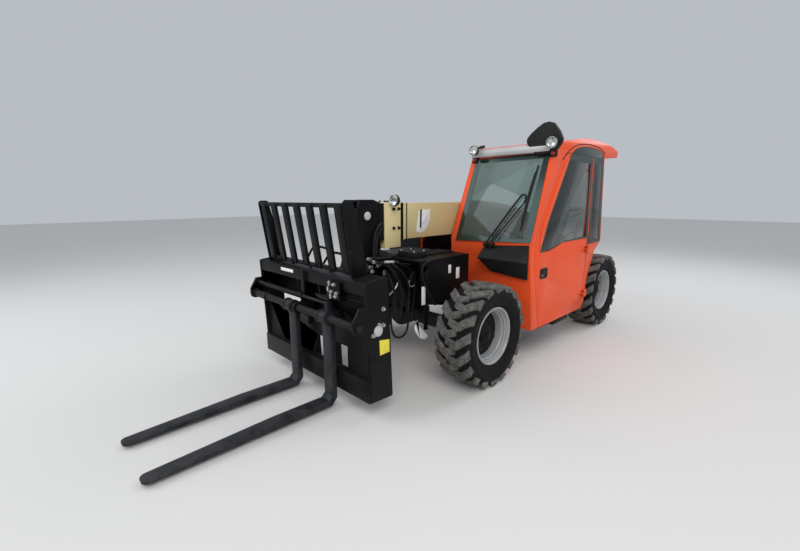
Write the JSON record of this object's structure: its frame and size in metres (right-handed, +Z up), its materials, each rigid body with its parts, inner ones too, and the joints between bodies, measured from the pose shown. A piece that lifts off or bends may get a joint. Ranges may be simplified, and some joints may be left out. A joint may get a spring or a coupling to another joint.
{
  "type": "compact telehandler with pallet fork carriage",
  "caption": "Compact telescopic handler with a closed cab beside a telescopic boom, a wide fork carriage with load backrest, and four steered wheels.",
  "frame": {"origin": "ground, under the middle of the whole machine", "axes": "+X forward along the boom, +Y to the machine's left, +Z up"},
  "size_m": [5.092, 1.842, 2.1188],
  "materials": {
    "black_paint": "satin",
    "orange_paint": "gloss",
    "cream_paint": "gloss",
    "fork_paint": "satin",
    "tyre_rubber": "matt, dusty lugs",
    "rim_silver": "satin",
    "cast_grey": "painted",
    "window_glass": "tinted",
    "chrome_rod": "polished",
    "black_plastic": "grained",
    "grey_plastic": "moulded",
    "seat_cover": "woven",
    "lamp_lens": "clear"
  },
  "bodies": {
    "chassis": {"main_frame": "black_paint", "boom_tower": "black_paint", "front_axle": "cast_grey", "rear_axle": "cast_grey", "ballast": "black_paint", "engine_block": "cast_grey", "fuel_tank": "black_plastic", "cab_frame": "orange_paint", "cab_roof": "orange_paint", "roof_visor": "grey_plastic", "windshield": "window_glass", "cab_glass": "window_glass", "seat_base": "black_plastic", "seat_cushion": "seat_cover", "seat_back": "seat_cover", "steering_column": "black_plastic", "side_console": "black_plastic", "cowl": "black_plastic", "cab_lamps": "lamp_lens", "cab_mirror": "black_plastic"},
    "door": {"door_panel": "orange_paint", "door_glass": "window_glass"},
    "hood": {"engine_hood": "orange_paint"},
    "outer_boom": {"outer_boom": "cream_paint", "boom_lamp": "lamp_lens"},
    "inner_boom": {"inner_boom": "cream_paint", "boom_head": "black_paint"},
    "lift_barrel": {"lift_barrel": "black_paint"},
    "lift_rod": {"lift_rod": "chrome_rod"},
    "tilt_barrel": {"tilt_barrel": "black_paint"},
    "tilt_rod": {"tilt_rod": "chrome_rod"},
    "carriage": {"coupler": "black_paint", "carriage_frame": "black_paint", "backrest": "black_paint", "fork_shaft": "chrome_rod", "positioner": "black_paint"},
    "fork_left": {"fork_left": "fork_paint"},
    "fork_right": {"fork_right": "fork_paint"},
    "knuckle_front_left": {"knuckle_front_left": "cast_grey"},
    "wheel_front_left": {"tyre_front_left": "tyre_rubber", "rim_front_left": "rim_silver"},
    "knuckle_front_right": {"knuckle_front_right": "cast_grey"},
    "wheel_front_right": {"tyre_front_right": "tyre_rubber", "rim_front_right": "rim_silver"},
    "knuckle_rear_left": {"knuckle_rear_left": "cast_grey"},
    "wheel_rear_left": {"tyre_rear_left": "tyre_rubber", "rim_rear_left": "rim_silver"},
    "knuckle_rear_right": {"knuckle_rear_right": "cast_grey"},
    "wheel_rear_right": {"tyre_rear_right": "tyre_rubber", "rim_rear_right": "rim_silver"}
  },
  "joints": [
    {"name": "boom_lift", "type": "hinge", "parent": "chassis", "child": "outer_boom", "pos_m": [-2.29, -0.13, 1.27], "axis": [0, -1, 0], "range_deg": [0, 65]},
    {"name": "boom_extend", "type": "slide", "parent": "outer_boom", "child": "inner_boom", "axis": [1, 0, 0], "range_m": [0, 2]},
    {"name": "attachment_tilt", "type": "hinge", "parent": "inner_boom", "child": "carriage", "pos_m": [0.91, -0.13, 0.4], "axis": [0, 1, 0], "range_deg": [-12, 60]},
    {"name": "lift_barrel_turn", "type": "hinge", "parent": "chassis", "child": "lift_barrel", "pos_m": [-1.9, -0.13, 0.58], "axis": [0, -1, 0], "range_deg": [-1, 51.7]},
    {"name": "lift_rod_slide", "type": "slide", "parent": "lift_barrel", "child": "lift_rod", "axis": [0.8783, 0, 0.4782], "range_m": [-0.002, 0.7835]},
    {"name": "tilt_barrel_turn", "type": "hinge", "parent": "inner_boom", "child": "tilt_barrel", "pos_m": [0.78, -0.13, 1.336], "axis": [0, 1, 0], "range_deg": [-0.84, 0.17]},
    {"name": "tilt_rod_slide", "type": "slide", "parent": "tilt_barrel", "child": "tilt_rod", "axis": [0.3214, 0, -0.9469], "range_m": [-0.0447, 0.2156]},
    {"name": "door_hinge", "type": "hinge", "parent": "chassis", "child": "door", "pos_m": [-1.497, 0.872, 0.7], "axis": [0, 0, 1], "range_deg": [0, 95]},
    {"name": "hood_hinge", "type": "hinge", "parent": "chassis", "child": "hood", "pos_m": [-0.895, -0.3775, 1.09], "axis": [-1, 0, 0], "range_deg": [0, 60]},
    {"name": "fork_left_slide", "type": "slide", "parent": "carriage", "child": "fork_left", "axis": [0, 1, 0], "range_m": [-0.285, 0.295]},
    {"name": "fork_right_slide", "type": "slide", "parent": "carriage", "child": "fork_right", "axis": [0, 1, 0], "range_m": [-0.53, 0.04]},
    {"name": "steer_front_left", "type": "hinge", "parent": "chassis", "child": "knuckle_front_left", "pos_m": [0.25, 0.6925, 0.413], "axis": [0, 0, 1], "range_deg": [-28, 28]},
    {"name": "spin_front_left", "type": "hinge", "parent": "knuckle_front_left", "child": "wheel_front_left", "pos_m": [0.25, 0.7525, 0.413], "axis": [0, 1, 0], "continuous": true},
    {"name": "steer_front_right", "type": "hinge", "parent": "chassis", "child": "knuckle_front_right", "pos_m": [0.25, -0.6925, 0.413], "axis": [0, 0, 1], "range_deg": [-28, 28]},
    {"name": "spin_front_right", "type": "hinge", "parent": "knuckle_front_right", "child": "wheel_front_right", "pos_m": [0.25, -0.7525, 0.413], "axis": [0, 1, 0], "continuous": true},
    {"name": "steer_rear_left", "type": "hinge", "parent": "chassis", "child": "knuckle_rear_left", "pos_m": [-2.04, 0.6925, 0.413], "axis": [0, 0, 1], "range_deg": [-28, 28]},
    {"name": "spin_rear_left", "type": "hinge", "parent": "knuckle_rear_left", "child": "wheel_rear_left", "pos_m": [-2.04, 0.7525, 0.413], "axis": [0, 1, 0], "continuous": true},
    {"name": "steer_rear_right", "type": "hinge", "parent": "chassis", "child": "knuckle_rear_right", "pos_m": [-2.04, -0.6925, 0.413], "axis": [0, 0, 1], "range_deg": [-28, 28]},
    {"name": "spin_rear_right", "type": "hinge", "parent": "knuckle_rear_right", "child": "wheel_rear_right", "pos_m": [-2.04, -0.7525, 0.413], "axis": [0, 1, 0], "continuous": true}
  ],
  "couplings": [
    {"joint": "lift_barrel_turn", "follows": "boom_lift", "ratio": 0.77999},
    {"joint": "lift_rod_slide", "follows": "boom_lift", "m_per_rad": 0.68885},
    {"joint": "tilt_barrel_turn", "follows": "attachment_tilt", "ratio": -0.013406},
    {"joint": "tilt_rod_slide", "follows": "attachment_tilt", "m_per_rad": 0.204},
    {"joint": "steer_front_right", "follows": "steer_front_left", "ratio": 1},
    {"joint": "steer_rear_right", "follows": "steer_rear_left", "ratio": 1}
  ]
}
